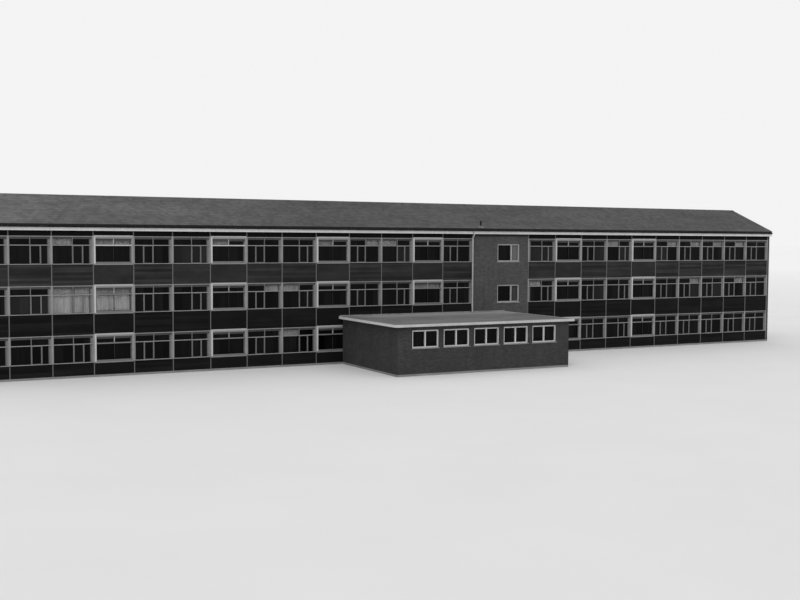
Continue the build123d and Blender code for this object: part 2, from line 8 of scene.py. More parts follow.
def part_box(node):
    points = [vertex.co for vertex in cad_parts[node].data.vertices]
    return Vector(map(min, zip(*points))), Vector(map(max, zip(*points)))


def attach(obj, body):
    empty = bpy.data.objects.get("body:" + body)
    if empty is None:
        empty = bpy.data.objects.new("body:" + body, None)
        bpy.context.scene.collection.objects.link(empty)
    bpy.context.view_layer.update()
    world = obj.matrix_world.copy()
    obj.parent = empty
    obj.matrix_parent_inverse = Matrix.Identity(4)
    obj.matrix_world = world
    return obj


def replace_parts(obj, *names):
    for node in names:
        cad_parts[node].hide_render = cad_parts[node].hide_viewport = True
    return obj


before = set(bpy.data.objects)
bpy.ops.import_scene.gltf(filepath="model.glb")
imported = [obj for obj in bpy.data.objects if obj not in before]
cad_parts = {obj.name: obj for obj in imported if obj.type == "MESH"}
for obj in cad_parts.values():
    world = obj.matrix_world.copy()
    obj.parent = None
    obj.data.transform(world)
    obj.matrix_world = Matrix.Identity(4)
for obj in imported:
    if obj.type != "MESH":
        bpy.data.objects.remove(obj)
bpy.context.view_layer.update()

# Looks of the three-storey school building. Every length is in metres of the half-size model.
# The front faces -Y; what stands on the front is repeated on the rear by mirroring Y.

random.seed(1960)

# Window wall: bays are counted from the left end and storeys from the ground, both from 0
LEFT_BAYS, TOWER_BAYS, RIGHT_BAYS = 14, 2, 10
BAYS = LEFT_BAYS + TOWER_BAYS + RIGHT_BAYS
AFTER_TOWER = LEFT_BAYS + TOWER_BAYS
WINDOW_BAYS = [*range(LEFT_BAYS), *range(AFTER_TOWER, BAYS)]
BOX_BAYS = (3, 6, 9, 12, 17, 20)
MIRRORED_BAYS = (1, 2, 5, 8, 11, 16, 19)  # bays whose casement is right of the middle
MULLION = 0.034
RAIL = 0.025
COLUMN = 0.150
WINDOW_HEIGHT = 0.933  # between the middles of the sill and head rails
TRANSOM_DROP = 0.297  # from the head rail's middle to the transom's
JAMB = 0.022
BOX_FACE = 0.055  # width of a box window's frame
BOX_TRANSOM = 0.040

run_low, run_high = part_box("front_left_mullions")
BAY = (run_high.x - run_low.x - MULLION) / LEFT_BAYS
FACE = run_low.y  # front face of the mullions
BACK = run_high.y  # back face of the mullions, and of the rails
FLOOR_NAMES = ("ground_floor", "first_floor", "second_floor")
SILLS = [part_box(name + "_glass")[0].z + RAIL / 2 for name in FLOOR_NAMES]
COLUMN_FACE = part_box("front_left_frame")[0].y
PANEL_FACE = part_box("storey_panels")[0].y
FLOOR_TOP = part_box("ground_floor_slab")[1].z
BLOCK_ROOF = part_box("block_roof")
STOREY = SILLS[1] - SILLS[0]
BOARDS = 8  # weatherboards between two rows of windows
BOARD = (STOREY - WINDOW_HEIGHT - RAIL) / BOARDS

# Main roof
roof_low, roof_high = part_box("front_roof_slope")
RIDGE_Z = roof_high.z
TILE_EDGE = -roof_low.y
ROOF_END = roof_high.x
PITCH = radians(22.2)
SLOPE = sin(PITCH) / cos(PITCH)
TILE_COLUMNS = 240
TILE_ROWS = 17
TILE_WIDTH = 2 * ROOF_END / TILE_COLUMNS
TILE_GAUGE = TILE_EDGE / cos(PITCH) / TILE_ROWS
PALE_ROOF_END = -4.0  # X up to where the roof is paler towards its left end


def line_x(line):
    """X of a mullion line, counted from 0 at the left end."""
    return (line - BAYS / 2) * BAY


def roof_z(y):
    """Height of the top of the roof slabs at a distance y from the ridge line."""
    return RIDGE_Z - abs(y) * SLOPE


# Meshes
BOX_FACES = ((0, 3, 2, 1), (4, 5, 6, 7), (0, 1, 5, 4), (1, 2, 6, 5), (2, 3, 7, 6), (3, 0, 4, 7))
RING_SEGMENTS = 24


def placed(name, data):
    """A new object in the scene."""
    made = bpy.data.objects.new(name, data)
    bpy.context.collection.objects.link(made)
    return made


class Shape:
    """Gathers the faces of one piece before its object is made."""

    def __init__(self):
        self.points = []
        self.faces = []
        self.slots = []

    def add(self, points, faces, slot=0):
        start = len(self.points)
        self.points += [tuple(p) for p in points]
        self.faces += [tuple(start + i for i in face) for face in faces]
        self.slots += [slot] * len(faces)

    def box(self, low, high, slot=0, turn=None):
        """A block between two corners; turn is a matrix about its middle."""
        (x0, y0, z0), (x1, y1, z1) = low, high
        points = [(x, y, z) for z in (z0, z1) for x, y in ((x0, y0), (x1, y0), (x1, y1), (x0, y1))]
        if turn:
            middle = (Vector(low) + Vector(high)) / 2
            points = [middle + turn @ (Vector(p) - middle) for p in points]
        self.add(points, BOX_FACES, slot)

    def prism(self, outline, start, end):
        """A length along X with an outline of (y, z) points, which run clockwise seen from +X."""
        n = len(outline)
        points = [(x, y, z) for x in (start, end) for y, z in outline]
        sides = [(i, i + n, (i + 1) % n + n, (i + 1) % n) for i in range(n)]
        self.add(points, [*sides, tuple(range(n)), tuple(range(2 * n - 1, n - 1, -1))])

    def ring(self, middle, radius, bottom, top):
        """An upright round disc or collar."""
        x, y = middle
        n = RING_SEGMENTS
        angles = [2 * pi * i / n for i in range(n)]
        points = [(x + radius * cos(a), y + radius * sin(a), z) for z in (bottom, top) for a in angles]
        sides = [(i, (i + 1) % n, (i + 1) % n + n, i + n) for i in range(n)]
        self.add(points, [*sides, tuple(range(n, 2 * n)), tuple(range(n - 1, -1, -1))])

    def mirrored(self):
        """The same on the rear."""
        other = Shape()
        other.points = [(x, -y, z) for x, y, z in self.points]
        other.faces = [tuple(reversed(face)) for face in self.faces]
        other.slots = list(self.slots)
        return other

    def join(self, other, slot=None):
        """Takes in another shape, with its own slots or all in one."""
        self.add(other.points, other.faces)
        self.slots[-len(other.faces):] = other.slots if slot is None else [slot] * len(other.faces)

    def put(self, name, materials):
        """The shape as an object in the scene."""
        mesh = bpy.data.meshes.new(name)
        mesh.from_pydata(self.points, [], self.faces)
        for item in materials:
            mesh.materials.append(item)
        mesh.polygons.foreach_set("material_index", self.slots)
        return placed(name, mesh)

    def make(self, name, materials, slot=None):
        """A piece that rides on the building; slot is not used."""
        piece = self.put(name, materials)
        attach(piece, "root")
        return piece


def shaped(build, *values):
    """A new shape that a function fills."""
    shape = Shape()
    build(shape, *values)
    return shape


def make_twice(name, build, finish, slot):
    """A piece on the front, and one on the rear that is built the same way."""
    shaped(build).make("front_" + name, [finish], slot)
    shaped(build).mirrored().make("rear_" + name, [finish], slot)


# Nodes of the materials
def grey(value):
    return (value, value, value, 1)


def is_socket(value):
    return isinstance(value, bpy.types.NodeSocket)


def plug(socket, value):
    """Feeds an input with a value, or with another node's socket."""
    if is_socket(value):
        socket.id_data.links.new(value, socket)
    else:
        socket.default_value = value


def node(near, kind, inputs=None, **settings):
    """A new node beside another node or socket; inputs are values or sockets."""
    made = near.id_data.nodes.new(kind)
    for name, value in settings.items():
        setattr(made, name, value)
    for name, value in (inputs or {}).items():
        plug(made.inputs[name], value)
    return made


def socket_among(*values):
    return next(filter(is_socket, values))


def shader_of(made):
    return made.node_tree.nodes["Principled BSDF"]


def place_in(made):
    return node(made.node_tree, "ShaderNodeTexCoord").outputs["Object"]


def new_material(name, roughness, specular, metallic=0):
    made = bpy.data.materials.new(name)
    made.use_nodes = True
    shader = shader_of(made)
    shader.inputs["Roughness"].default_value = roughness
    shader.inputs["Specular IOR Level"].default_value = specular
    shader.inputs["Metallic"].default_value = metallic
    return made, shader, place_in(made)


def xyz(vector):
    return node(vector, "ShaderNodeSeparateXYZ", {"Vector": vector}).outputs


def noise(place, scale, detail=4, rough=0.55):
    """Noise from 0 to 1; its scale is one number, or one for each axis."""
    if isinstance(scale, tuple):
        place = node(place, "ShaderNodeMapping", {"Vector": place, "Scale": scale}).outputs["Vector"]
        scale = 1.0
    inputs = {"Vector": place, "Scale": scale, "Detail": detail, "Roughness": rough}
    return node(place, "ShaderNodeTexNoise", inputs).outputs["Fac"]


def chance(x, y, z):
    """A random number for each cell of three whole numbers."""
    cell = node(x, "ShaderNodeCombineXYZ", {"X": x, "Y": y, "Z": z}).outputs[0]
    return node(x, "ShaderNodeTexWhiteNoise", {"Vector": cell}).outputs["Value"]


def remap(value, low, high, new_low=0, new_high=1):
    """Takes the range from low to high to the new one, and stays within it."""
    inputs = {"Value": value, 1: low, 2: high, 3: new_low, 4: new_high}
    return node(value, "ShaderNodeMapRange", inputs).outputs["Result"]


def mix(share, first, second, blend="MIX"):
    """A colour between two; each is a socket or the value of a grey."""
    near = socket_among(share, first, second)
    first, second = (colour if is_socket(colour) else grey(colour) for colour in (first, second))
    inputs = {0: share, 6: first, 7: second}
    return node(near, "ShaderNodeMix", inputs, data_type="RGBA", blend_type=blend).outputs[2]


def times(colour, other):
    return mix(1.0, colour, other, "MULTIPLY")


def math(operation, first, second=0.0):
    near, inputs = socket_among(first, second), {0: first, 1: second}
    return node(near, "ShaderNodeMath", inputs, operation=operation).outputs[0]


def product(first, second):
    return math("MULTIPLY", first, second)


def minus(first, second):
    return math("SUBTRACT", first, second)


def is_over(value, limit):
    return math("GREATER_THAN", value, limit)


def courses(place, greys, joint, smooth, length, height):
    """Bricks or tiles in half bond: two greys that mix at random, and a third in the joints."""
    first, second, mortar = (grey(value) for value in greys)
    return node(place, "ShaderNodeTexBrick", {
        "Vector": place, "Color1": first, "Color2": second, "Mortar": mortar, "Scale": 1.0,
        "Mortar Size": joint, "Mortar Smooth": smooth, "Brick Width": length, "Row Height": height,
    }).outputs


def tint(value):
    """A grey whose value comes from a socket."""
    inputs = {"Red": value, "Green": value, "Blue": value}
    return node(value, "ShaderNodeCombineColor", inputs).outputs[0]


def bump(shader, height, distance, strength):
    inputs = {"Height": height, "Distance": distance, "Strength": strength}
    plug(shader.inputs["Normal"], node(shader, "ShaderNodeBump", inputs).outputs["Normal"])


def coat(shader, colour):
    plug(shader.inputs["Base Color"], colour)


def faded(made, share, value):
    """The material with a new grey where the share is 1."""
    shader = shader_of(made)
    coat(shader, mix(share, shader.inputs["Base Color"].links[0].from_socket, value))
    return made


def sideways(made):
    """1 on the faces that look along X, and 0 on the others."""
    normal = node(made.node_tree, "ShaderNodeNewGeometry").outputs["Normal"]
    return is_over(math("ABSOLUTE", xyz(normal)["X"]), 0.5)


def above_sill(z):
    """Height above the middle of the storey's sill rail."""
    return math("FLOORED_MODULO", minus(z, SILLS[0]), STOREY)


# Materials: neutral greys, each with its own grain, weathering and bump
BOARD_LENGTH = 2.4  # of the white roof edge boards
JOINT_FADE = (0.001, 0.004)  # from a joint's middle, where its shade starts to fade and is gone
BRICK_LENGTH = 0.1125
BRICK_COURSE = 0.0375
BRICK_JOINT = 0.0025
PLINTH = 0.15  # height of the damp courses at the ground
PLINTH_FADE = 0.001
EAVES_SHADE_DROPS = (0.14, 0.07)  # below the fascia, where the painted shade of the eaves starts and is full
MULLION_SHADE = (0.014, 0.030)  # above the head rail's middle, where mullions darken; above the top windows this is painted shade of the eaves
WHITE_TRANSOM_LINE = 8  # transoms of the top storey left of this line stay white
TRANSOM_EDGE = 0.001
BARE_BY_WALL = (0.5, 1.6)  # from the wall, where the felt's bare margin ends
BARE_BY_LEFT = (0.3, 1.4)  # from the roof's left edge, where it begins


def paint(name, value, roughness=0.4, dirt=0.22, joint=None):
    """Weathered paint: clouded, with rain streaks, and a joint every so many metres along X."""
    made, shader, place = new_material(name, roughness, 0.4)
    clouds = remap(noise(place, 2.5), 0.35, 0.75)
    runs = remap(noise(place, (22, 22, 1.3), 5), 0.45, 0.75)
    worn = mix(clouds, value, value * (1 - dirt * 0.6))
    worn = mix(product(runs, dirt), worn, value * 0.45)
    if joint:
        from_joint = math("PINGPONG", xyz(place)["X"], joint / 2)
        worn = mix(remap(from_joint, *JOINT_FADE, 1, 0), worn, value * 0.3)
    coat(shader, worn)
    grain = noise(place, 140, 3)
    plug(shader.inputs["Roughness"], remap(grain, 0, 1, roughness - 0.08, roughness + 0.12))
    bump(shader, grain, 0.0006, 0.5)
    return made


def box_paint(name, value, jamb=0.25, foot=0.15, head=0.22, transom=0.17):
    """White paint, greyer on the right jambs, the rails and all transoms but those at the left of the
    top storey.
    """
    made = paint(name, value)
    spot = xyz(place_in(made))
    height = above_sill(spot["Z"])
    across = math("FLOORED_MODULO", minus(spot["X"], line_x(0)), BAY)
    faded(made, is_over(across, BAY - MULLION / 2 - BOX_FACE), jamb)
    between = is_over(math("PINGPONG", spot["X"], BAY / 2), MULLION / 2 + BOX_FACE)
    low = math("LESS_THAN", height, RAIL / 2 + BOX_FACE)
    high = is_over(height, WINDOW_HEIGHT - RAIL / 2 - BOX_FACE)
    off = math("ABSOLUTE", minus(height, WINDOW_HEIGHT - TRANSOM_DROP))
    rail = math("LESS_THAN", off, BOX_TRANSOM / 2 + TRANSOM_EDGE)
    white_left_transoms = product(is_over(spot["Z"], SILLS[2]), math("LESS_THAN", spot["X"], line_x(WHITE_TRANSOM_LINE)))
    rail = product(rail, minus(1.0, white_left_transoms))
    for share, tone in ((low, foot), (high, head), (rail, transom)):
        faded(made, product(share, between), tone)
    return made


def mullion_coat(name, value, between):
    """Grey paint, darker between the rows of windows, and above the top row, where it is painted shade
    under the eaves.
    """
    made = paint(name, value, 0.45, 0.3)
    height = above_sill(xyz(place_in(made))["Z"])
    low, high = (WINDOW_HEIGHT + edge for edge in MULLION_SHADE)
    return faded(made, remap(height, low, high), between)


def infill_coat(name, value, far):
    """Grey paint, darker away from the mullion: painted shade across the column's face."""
    made = paint(name, value, 0.55, 0.3)
    from_line = math("PINGPONG", xyz(place_in(made))["X"], BAY / 2)
    # painted shade, deeper away from the mullion
    return faded(made, remap(from_line, MULLION / 2 + JAMB, COLUMN - MULLION / 2), far)


def side_lit_white(name, value, lit_side_value):
    """White boards, paler on the faces that look sideways, as painted light."""
    made = paint(name, value, 0.45, 0.3, joint=BOARD_LENGTH)
    # painted light on the faces that look along X
    return faded(made, sideways(made), lit_side_value)


def brick(name, value, mortar, plinth=0.0, eaves=0.0):
    """Stretcher courses with flush joints, damp below the plinth line, and with painted shade under the
    eaves.
    """
    made, shader, place = new_material(name, 0.9, 0.15)
    spot = xyz(place)
    side = sideways(made)
    along = node(place, "ShaderNodeMix", {0: side, 2: spot["X"], 3: spot["Y"]}, data_type="FLOAT")
    flat = node(place, "ShaderNodeCombineXYZ", {"X": along.outputs[0], "Y": spot["Z"]}).outputs[0]
    greys = (value * 0.72, value * 1.28, mortar)
    wall = courses(flat, greys, BRICK_JOINT, 0.3, BRICK_LENGTH, BRICK_COURSE)
    clouds = remap(noise(place, 0.9, 6), 0.3, 0.7, 0, 0.5)
    worn = mix(clouds, wall["Color"], value * 0.72)
    runs = remap(noise(place, (6, 6, 0.35), 4), 0.5, 0.8, 0, 0.35)
    worn = mix(runs, worn, value * 0.55)
    if plinth:
        low = remap(spot["Z"], plinth - PLINTH_FADE, plinth + PLINTH_FADE, 0.55, 0)
        worn = mix(low, worn, value * 0.35)
    if eaves:
        # painted shade of the eaves, on the faces that look forward
        start, full = (eaves - drop for drop in EAVES_SHADE_DROPS)
        eaves_shade = product(remap(spot["Z"], start, full, 0, 0.75), minus(1.0, side))
        worn = mix(eaves_shade, worn, value * 0.2)
    coat(shader, worn)
    height = minus(product(noise(place, 170, 4), 0.35), wall["Fac"])
    bump(shader, height, 0.0025, 0.8)
    return made


def roof_tiles():
    """Each tile its own shade, with clouds, lichen and a paler left end."""
    made, shader, place = new_material("roof_tile", 0.92, 0.12)
    spot = xyz(place)
    down = math("DIVIDE", minus(TILE_EDGE, math("ABSOLUTE", spot["Y"])), cos(PITCH))
    flat = node(place, "ShaderNodeCombineXYZ", {"X": spot["X"], "Y": down}).outputs[0]
    rows = courses(flat, (0.1, 0.138, 0.085), 0.0, 0.1, TILE_WIDTH, TILE_GAUGE)
    clouds = remap(noise(place, (0.3, 0.9, 1), 5, 0.6), 0.3, 0.7, 1.22, 0.8)
    leftward = remap(spot["X"], -ROOF_END, PALE_ROOF_END, 1.07, 0.75)
    worn = times(rows["Color"], tint(product(clouds, leftward)))
    lichen = remap(noise(place, 24, 5, 0.7), 0.58, 0.7, 0, 0.5)
    coat(shader, mix(lichen, worn, 0.2))
    bump(shader, noise(place, 130, 4), 0.0012, 0.6)
    return made


def boarding(name, boarded):
    """Dark paint: the row below the top windows is paler, the row under the eaves darker as painted
    shade, and each board in its own way.
    """
    made, shader, place = new_material(name, 0.6, 0.05)
    spot = xyz(place)
    height = spot["Z"]
    upper = is_over(height, SILLS[1])
    value = mix(upper, 0.0078, 0.0265)
    # painted shade under the eaves: the panels above the top windows are darker
    eaves = is_over(height, SILLS[2] + WINDOW_HEIGHT)
    value = mix(eaves, value, 0.005)
    if boarded:
        above = minus(height, SILLS[0] + WINDOW_HEIGHT + RAIL / 2)
        row = math("FLOOR", math("DIVIDE", math("FLOORED_MODULO", above, STOREY), BOARD))
        bay = math("FLOOR", math("DIVIDE", spot["X"], BAY))
        value = times(value, mix(chance(bay, row, upper), 0.65, 1.55))
    clouds = remap(noise(place, (1.2, 1, 3), 5), 0.3, 0.75, 0.75, 1.3)
    coat(shader, times(value, tint(clouds)))
    bump(shader, noise(place, (6, 6, 260), 4), 0.0008, 0.5)
    return made


def pane(name, low, high, specular):
    """Opaque window glass, painted with the shade of a dark room behind it; every light has its own
    depth of painted shade.
    """
    made, shader, place = new_material(name, 0.03, specular)
    spot = xyz(place)
    storey = math("FLOOR", math("DIVIDE", minus(spot["Z"], SILLS[0]), STOREY))
    toplight = is_over(above_sill(spot["Z"]), WINDOW_HEIGHT - TRANSOM_DROP)
    level = math("ADD", product(storey, 2.0), toplight)
    quarter = math("FLOOR", math("DIVIDE", spot["X"], BAY / 4))
    depth = chance(quarter, math("SIGN", spot["Y"]), level)
    streaks = remap(noise(place, (9, 9, 0.6), 3), 0.35, 0.75)
    shade = product(depth, math("ADD", product(streaks, 0.7), 0.3))
    coat(shader, mix(shade, low, high))
    bump(shader, noise(place, 5, 2), 0.0006, 0.3)
    return made


def clear_pane(name, veil):
    """Glass in front of curtains; the veil is the share of the view that the glass's dark colour hides,
    in patches.
    """
    made, shader, place = new_material(name, 0.03, 0.5)
    veil_share = remap(noise(place, 6, 4), 0.4, 0.8, veil, veil * 1.3)
    plug(shader.inputs["Alpha"], veil_share)
    coat(shader, mix(veil_share, 0.004, 0.02))
    return made


def cloth(value):
    """Plain woven curtain cotton, with painted light and shade in upright bands for its folds."""
    made, shader, place = new_material("curtain_cotton", 0.95, 0.1)
    shader.inputs["Sheen Weight"].default_value = 0.15
    thread = {"Vector": place, "Scale": 320.0, "Distortion": 0.6}
    across = node(place, "ShaderNodeTexWave", thread).outputs["Fac"]
    upward = node(place, "ShaderNodeTexWave", thread, bands_direction="Z").outputs["Fac"]
    weave = product(across, upward)
    # painted light and shade of the folds
    folds = remap(noise(place, (14, 1, 0.8), 3), 0.35, 0.7)
    colour = mix(folds, value * 1.15, value * 0.7)
    coat(shader, mix(product(weave, 0.2), colour, value * 0.6))
    bump(shader, weave, 0.0004, 0.5)
    return made


def concrete(name, value):
    """Clouded and pitted concrete or mortar."""
    made, shader, place = new_material(name, 0.9, 0.2)
    clouds = remap(noise(place, 1.6, 6), 0.3, 0.7)
    worn = mix(clouds, value, value * 0.75)
    pits = remap(noise(place, 90, 3), 0.62, 0.72, 0, 0.6)
    coat(shader, mix(pits, worn, value * 0.5))
    bump(shader, noise(place, 60, 5), 0.0015, 0.5)
    return made


def chippings():
    """Small pale stones on roofing felt, thinner in patches, and paler towards the wall."""
    made, shader, place = new_material("roof_felt", 0.95, 0.1)
    stones = node(place, "ShaderNodeTexVoronoi", {"Vector": place, "Scale": 150.0}).outputs
    tone = node(place, "ShaderNodeSeparateColor", {"Color": stones["Color"]}).outputs["Red"]
    colour = mix(tone, 0.13, 0.24)
    colour = mix(remap(noise(place, (0.6, 0.9, 1), 5), 0.42, 0.66, 0, 0.7), colour, 0.125)
    low, high = BLOCK_ROOF
    spot = xyz(place)
    bare = remap(minus(high.y, spot["Y"]), *BARE_BY_WALL, 0.85, 0)
    bare = product(bare, remap(minus(spot["X"], low.x), *BARE_BY_LEFT))
    coat(shader, mix(bare, colour, 0.34))
    bump(shader, minus(1.0, stones["Distance"]), 0.003, 0.7)
    return made


def metal(name, value, roughness, metallic=0.0):
    """Cast or sheet metal under paint, or bare lead."""
    made, shader, place = new_material(name, roughness, 0.15, metallic)
    clouds = remap(noise(place, 3, 5), 0.35, 0.7)
    coat(shader, mix(clouds, value, value * 0.6))
    bump(shader, noise(place, 70, 4), 0.0008, 0.4)
    return made


def wood(name, value, grain_scale=(1.5, 30, 30)):
    """Timber or painted wood whose grain runs where its scale is small."""
    made, shader, place = new_material(name, 0.6, 0.25)
    grain = noise(place, grain_scale, 6, 0.6)
    coat(shader, mix(remap(grain, 0.3, 0.7), value, value * 0.6))
    bump(shader, grain, 0.001, 0.4)
    return made


white = paint("white_paint", 0.6)
box_white = box_paint("box_window_paint", 0.56)
hood_white = paint("box_hood_paint", 0.46)
apron_white = paint("box_apron_paint", 0.27)
sash_white = paint("sash_paint", 0.42)
pipe_white = paint("pipe_paint", 0.48, 0.45, 0.25)
frame_white = paint("tower_frame_paint", 0.42, 0.45, 0.25)
fascia_white = paint("white_boards", 0.7, 0.45, 0.25, joint=BOARD_LENGTH)
flat_roof_white = side_lit_white("flat_roof_boards", 0.52, 0.64)
mullion_grey = mullion_coat("mullion_paint", 0.30, 0.11)
bar_grey = paint("window_bar_paint", 0.15, 0.45, 0.3)
infill_grey = infill_coat("column_infill_paint", 0.27, 0.045)
sill_grey = paint("sill_paint", 0.3, 0.5, 0.3)
vent_grey = paint("head_vent_paint", 0.05, 0.6, 0.3)
tower_brick = brick("tower_brick", 0.076, 0.16, PLINTH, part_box("fascia_boards")[0].z)
block_brick = brick("block_brick", 0.044, 0.1)
tile = roof_tiles()
panel = boarding("panel", False)
boards = boarding("weatherboard", True)
dark_glass = pane("window_glass", 0.001, 0.009, 0.07)
clear_glass = clear_pane("clear_glass", 0.12)
veiled_glass = clear_pane("veiled_glass", 0.18)
# paler glass: painted light seen in some lights
grey_glass = pane("grey_glass", 0.012, 0.026, 0.07)
obscured_glass = pane("obscured_glass", 0.10, 0.17, 0.2)
dim_glass = pane("dim_glass", 0.03, 0.055, 0.15)
cotton = cloth(0.49)
structure = concrete("concrete", 0.2)
sill_concrete = concrete("sill_concrete", 0.26)
mortar = concrete("ridge_mortar", 0.13)
felt = chippings()
iron = metal("dark_metal", 0.007, 0.6)
steel_black = metal("casement_steel", 0.03, 0.5)
lead = metal("sheet_lead", 0.22, 0.55, 0.3)
pale_lead = metal("apron_lead", 0.3, 0.55, 0.2)
steel = metal("door_steel", 0.35, 0.3, 0.9)
# near black: painted shade under the eaves
soffit_shade = wood("soffit_board", 0.012)
timber = wood("timber", 0.26)
door = wood("door_paint", 0.05, (30, 30, 1.5))
# the roof slabs' edge under the tiles' butts, near black as painted shadow
tile_edge_shadow = wood("tile_edge", 0.008)

RUNS = ("front_left", "front_right", "rear_left", "rear_right")
NODE_MATERIALS = {
    structure: ["first_floor_slab", "second_floor_slab", "ceiling_slab", *(r + "_frame" for r in RUNS)],
    sill_concrete: ("ground_floor_slab", "block_floor_slab"),
    tower_brick: ("left_gable_wall", "right_gable_wall", "tower_front_wall", "tower_rear_wall"),
    block_brick: ("block_left_wall", "block_front_wall", "block_right_wall"),
    mullion_grey: [r + "_mullions" for r in RUNS],
    panel: ("base_panels", "storey_panels", "eaves_panels"),
    dark_glass: ("block_window_glass",),
    box_white: ("box_windows",),
    frame_white: ("tower_window_frames",),
    white: ("block_window_frames", "entrance_frame"),
    pipe_white: ("downpipes",),
    fascia_white: ("fascia_boards", "left_bargeboard", "right_bargeboard"),
    flat_roof_white: ("block_fascia",),
    door: ("entrance_doors",),
    timber: ("wall_plates",),
    soffit_shade: ("eaves_soffits",),
    tile_edge_shadow: ("front_roof_slope", "rear_roof_slope"),
    iron: ("front_gutter", "rear_gutter", "roof_vent"),
    felt: ("block_roof",),
}
for finish, names in NODE_MATERIALS.items():
    for name in names:
        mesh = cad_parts[name].data
        mesh.materials.clear()
        mesh.materials.append(finish)


# Windows: bars, infill in front of the columns, casements, sills, trims and panes
BAR = 0.028
BAR_FACE = FACE + 0.010  # slim bars lie a little behind the mullions
CASEMENT = 0.016
BOX_CASEMENT = CASEMENT / 2
BOX_UPRIGHT = 0.024
HEAD_STRIP = 0.075
STRIP_RECESS = 0.004
INFILL_FACE = BACK - 0.012
PANE = 0.004
PANE_TILT = radians(0.12)
SILL_NOSE = 0.020
SILL_BOTTOM, SILL_LIP, SILL_BACK = -0.010, 0.002, 0.008
HOOD = 0.028  # lap of the white boards over the panels
APRON = 0.022
BOARD_SKIN = 0.006
DARK, CLEAR, VEILED, PALE = range(4)  # material slots of the panes
GLAZING = (dark_glass, clear_glass, veiled_glass, grey_glass)

# Curtains seen through the front: (bay, storey), and which light. The whole light is below and
# above the transom; a toplight is whole or named by its half.
CURTAINS = {
    (2, 1): "whole", (3, 1): "whole",
    (2, 2): "left top", (3, 2): "whole top", (6, 2): "left top", (9, 2): "left top",
    (7, 1): "right top", (8, 1): "left top", (8, 0): "left top", (10, 2): "right top",
    (11, 2): "left top", (12, 1): "whole top", (16, 1): "left top", (19, 2): "left top",
    (21, 2): "right top", (22, 2): "right top", (23, 2): "right top", (24, 2): "right top",
    (22, 1): "right top", (24, 1): "right top",
}

# Lights of the front below the transom whose glass is painted a paler grey, as painted light seen in
# them
PALE_LIGHTS = {
    (1, 1): "whole", (5, 2): "whole", (11, 2): "right", (16, 2): "whole", (18, 2): "right",
    (19, 2): "right", (21, 2): "left", (18, 1): "right", (22, 1): "right", (23, 1): "right",
}

# Pieces of the window wall: name, material, and its name in the part
WINDOW_PIECES = (
    ("window_bars", bar_grey, "mullion_paint"),
    ("column_infills", infill_grey, "mullion_paint"),
    ("casements", bar_grey, "mullion_paint"),
    ("box_casements", steel_black, "dark_metal"),
    ("box_window_sashes", sash_white, "white_paint"),
    ("window_sills", sill_grey, "mullion_paint"),
    ("head_vents", vent_grey, "mullion_paint"),
    ("box_hoods", hood_white, "white_paint"),
    ("box_aprons", apron_white, "white_paint"),
)


def light_span(bay):
    """Left and right side of a bay's opening, between its mullions."""
    return line_x(bay) + MULLION / 2, line_x(bay + 1) - MULLION / 2


def clear_span(bay):
    """The part of the opening with no column behind it."""
    left, right = light_span(bay)
    if bay in (0, AFTER_TOWER):
        left += COLUMN - MULLION
    return left, right - (COLUMN - MULLION)


class Window:
    """The lines of one window, seen from the front."""

    def __init__(self, bay, sill):
        self.bay = bay
        self.sill = sill
        self.boxed = bay in BOX_BAYS
        self.left, self.right = light_span(bay)
        self.free_left, self.free_right = clear_span(bay)
        self.middle = (self.left + self.right) / 2
        self.bottom = sill + RAIL / 2
        self.top = sill + WINDOW_HEIGHT - RAIL / 2
        self.transom = sill + WINDOW_HEIGHT - TRANSOM_DROP
        self.below_transom = self.transom - (BOX_TRANSOM if self.boxed else RAIL) / 2
        if self.boxed:
            self.left += BOX_FACE
            self.right -= BOX_FACE
            self.bottom += BOX_FACE
            self.top -= BOX_FACE
            self.free_left = max(self.free_left, self.left)


def pane_box(shape, x0, x1, z0, z1, slot):
    """One sheet of glass, turned a hair so that each reflects its own part of the sky."""
    turn, lean = (Matrix.Rotation(random.uniform(-PANE_TILT, PANE_TILT), 3, axis) for axis in "ZX")
    shape.box((x0, BACK, z0), (x1, BACK + PANE, z1), slot, turn @ lean)


def sash(shape, x0, x1, z0, z1, width):
    """A thin frame round a light."""
    for low, high in (
        ((x0, BAR_FACE, z0), (x1, BACK, z0 + width)),
        ((x0, BAR_FACE, z1 - width), (x1, BACK, z1)),
        ((x0, BAR_FACE, z0 + width), (x0 + width, BACK, z1 - width)),
        ((x1 - width, BAR_FACE, z0 + width), (x1, BACK, z1 - width)),
    ):
        shape.box(low, high)


def column_infills(shape, w):
    """Sheets in front of the columns behind the ends of a window."""
    for x0, x1 in ((w.left, w.free_left), (w.free_right, w.right)):
        if x1 > x0:
            shape.box((x0, INFILL_FACE, w.bottom), (x1, BACK + PANE, w.top))


def box_bars(parts, w):
    """Two dark sashes in a box window, and an upright between its toplights."""
    x0, x1 = w.middle - BOX_UPRIGHT / 2, w.middle + BOX_UPRIGHT / 2
    parts["box_window_sashes"].box((x0, FACE, w.transom + BOX_TRANSOM / 2), (x1, BACK, w.top))
    for x0, x1 in ((w.free_left, w.middle), (w.middle, w.free_right)):
        sash(parts["box_casements"], x0, x1, w.bottom, w.below_transom, BOX_CASEMENT)
    return [w.middle]


